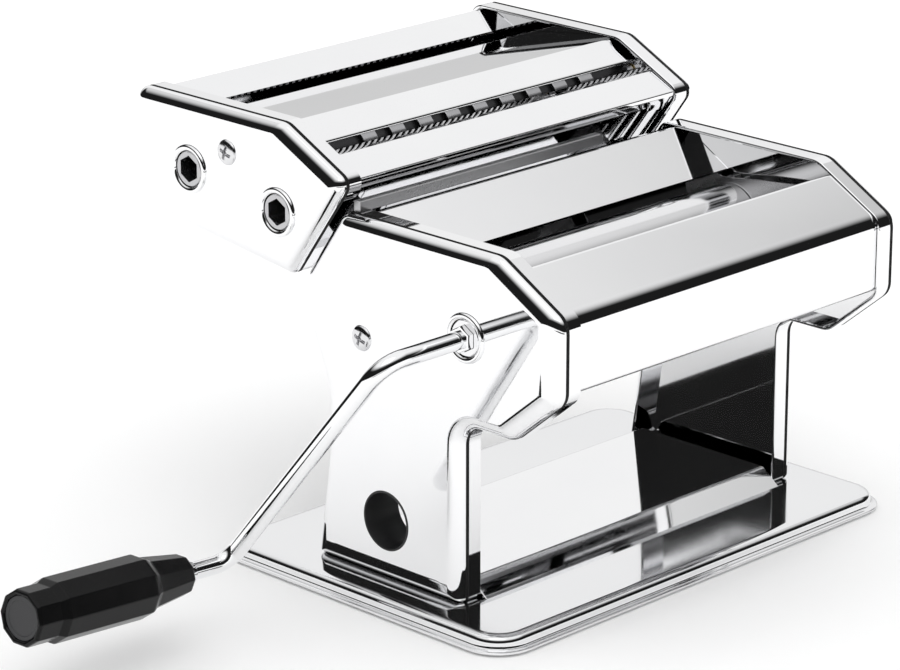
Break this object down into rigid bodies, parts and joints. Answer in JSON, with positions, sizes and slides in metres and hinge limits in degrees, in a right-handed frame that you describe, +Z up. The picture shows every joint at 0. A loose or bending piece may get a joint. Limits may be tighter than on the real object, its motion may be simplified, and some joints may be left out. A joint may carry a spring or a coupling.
{
  "type": "pasta roller machine",
  "caption": "Hand-cranked sheet roller for pasta dough with side frames on a flat base, an adjustable pair of smooth rollers and a lift-off cutter head.",
  "frame": {"origin": "centre of the underside of the base", "axes": "X along the rollers with the crank at -X, +Y towards the cutter head at the back, +Z up"},
  "size_m": [0.3213, 0.2071, 0.1508],
  "materials": {
    "chrome": "polished, mirror bright",
    "roller_steel": "ground and polished",
    "steel": "plain",
    "brass": "plain",
    "black": "smooth, black",
    "rubber": "matt, dark",
    "lining": "dark",
    "grey": "dark grey, satin"
  },
  "bodies": {
    "frame": {"base_plate": "chrome", "base_pad": "rubber", "leg_tie_plate": "chrome", "base_screws": "steel", "left_side_frame": "chrome", "right_side_frame": "chrome", "left_side_cover": "chrome", "right_side_cover": "chrome", "side_cover_screws": "steel", "left_clamp_sleeve": "lining", "front_cover": "chrome", "rear_cover": "chrome", "left_hopper_guard": "steel", "right_hopper_guard": "steel", "front_scraper": "steel", "rear_scraper": "steel", "roller_bushes": "brass", "crank_socket_ring": "chrome", "head_tie_rods": "steel", "cutter_rails": "steel", "cutter_rest_bar": "grey", "detent_pin": "steel"},
    "front_roller": {"front_roller": "roller_steel", "front_roller_gear": "steel"},
    "adjuster": {"eccentric_shaft": "steel"},
    "rear_bearings": {"roller_sleeves": "brass"},
    "rear_roller": {"rear_roller": "roller_steel", "rear_roller_gear": "steel"},
    "knob": {"adjuster_knob": "black", "knob_cap": "chrome"},
    "crank": {"crank_rod": "chrome", "crank_collar": "chrome"},
    "grip": {"grip": "black", "grip_cap": "black"},
    "cutter": {"cutter_left_frame": "chrome", "cutter_right_frame": "chrome", "cutter_left_cover": "chrome", "cutter_right_cover": "chrome", "cutter_cover_screws": "steel", "cutter_socket_rings": "chrome", "cutter_bushes": "brass", "cutter_tie_rod": "steel", "cutter_rear_panel": "chrome", "cutter_middle_panel": "chrome", "cutter_front_panel": "chrome", "wide_combs": "steel", "narrow_combs": "steel"},
    "wide_drive": {"wide_drive_roller": "steel", "wide_drive_gear": "steel"},
    "wide_idle": {"wide_idle_roller": "steel", "wide_idle_gear": "steel"},
    "narrow_drive": {"narrow_drive_roller": "steel", "narrow_drive_gear": "steel"},
    "narrow_idle": {"narrow_idle_roller": "steel", "narrow_idle_gear": "steel"}
  },
  "joints": [
    {"name": "front_roller_spin", "type": "hinge", "parent": "frame", "child": "front_roller", "pos_m": [0, -0.0371, 0.097], "axis": [1, 0, 0], "continuous": true},
    {"name": "crank_pull", "type": "slide", "parent": "front_roller", "child": "crank", "axis": [-1, 0, 0], "range_m": [0, 0.06]},
    {"name": "grip_spin", "type": "hinge", "parent": "crank", "child": "grip", "pos_m": [-0.151, 0.02103, 0.02098], "axis": [-0.9919, -0.0772, 0.1009], "continuous": true},
    {"name": "adjuster_turn", "type": "hinge", "parent": "frame", "child": "adjuster", "pos_m": [0, -0.0109, 0.0959], "axis": [1, 0, 0], "range_deg": [-60, 60]},
    {"name": "bearing_shift", "type": "slide", "parent": "frame", "child": "rear_bearings", "axis": [0, -1, 0], "range_m": [-0.00095, 0.00095]},
    {"name": "rear_roller_spin", "type": "hinge", "parent": "rear_bearings", "child": "rear_roller", "pos_m": [0, -0.0109, 0.097], "axis": [1, 0, 0], "continuous": true},
    {"name": "knob_pull", "type": "slide", "parent": "adjuster", "child": "knob", "axis": [1, 0, 0], "range_m": [0, 0.004], "stiffness_N_per_m": 2500, "springref_m": -0.001},
    {"name": "cutter_lift", "type": "slide", "parent": "frame", "child": "cutter", "axis": [0, -0.5694, 0.8221], "range_m": [0, 0.045]},
    {"name": "wide_drive_spin", "type": "hinge", "parent": "cutter", "child": "wide_drive", "pos_m": [0, 0.0451, 0.1213], "axis": [1, 0, 0], "continuous": true},
    {"name": "wide_idle_spin", "type": "hinge", "parent": "cutter", "child": "wide_idle", "pos_m": [0, 0.0333, 0.1312], "axis": [1, 0, 0], "continuous": true},
    {"name": "narrow_drive_spin", "type": "hinge", "parent": "cutter", "child": "narrow_drive", "pos_m": [0, 0.0875, 0.1272], "axis": [1, 0, 0], "continuous": true},
    {"name": "narrow_idle_spin", "type": "hinge", "parent": "cutter", "child": "narrow_idle", "pos_m": [0, 0.1029, 0.1272], "axis": [1, 0, 0], "continuous": true}
  ],
  "couplings": [
    {"joint": "rear_roller_spin", "follows": "front_roller_spin", "ratio": -1},
    {"joint": "adjuster_turn", "follows": "bearing_shift", "rad_per_m": 1102},
    {"joint": "wide_idle_spin", "follows": "wide_drive_spin", "ratio": -1},
    {"joint": "narrow_idle_spin", "follows": "narrow_drive_spin", "ratio": -1}
  ]
}
